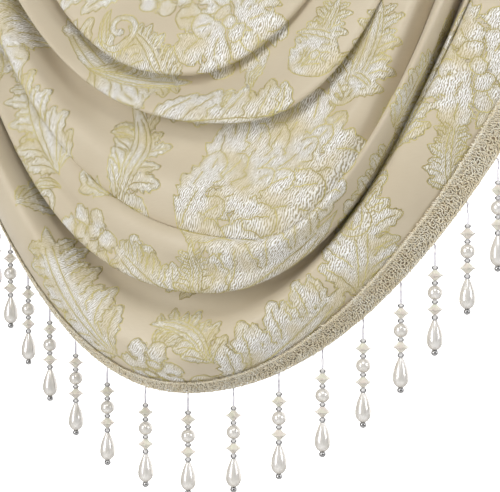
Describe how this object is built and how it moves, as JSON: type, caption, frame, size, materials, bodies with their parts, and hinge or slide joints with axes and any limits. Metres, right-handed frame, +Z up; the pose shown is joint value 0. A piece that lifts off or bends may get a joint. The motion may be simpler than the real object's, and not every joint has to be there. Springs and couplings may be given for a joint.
{
  "type": "swag drape valance",
  "caption": "Damask swag that hangs in soft U-shaped folds from a straight top edge, with a gimp braid and a beaded fringe along its curved hem.",
  "frame": {"origin": "on the top edge of the cloth, at the middle of the plain part between the shoulder pleats", "axes": "+X to the right seen from the front, -Y out of the front of the swag, +Z up"},
  "size_m": [0.6061, 0.1428, 0.4521],
  "materials": {
    "cream_damask": "satin-ground jacquard with a raised, crinkled off-white figure and gold outlines",
    "gimp_braid": "looped cream chenille braid, matt",
    "pearl_beads": "pearl coating, with clear seed beads and pale faceted star beads"
  },
  "bodies": {
    "root": {"swag_cloth": "cream_damask", "hem_braid": "gimp_braid", "bead_fringe": "pearl_beads"}
  },
  "joints": []
}
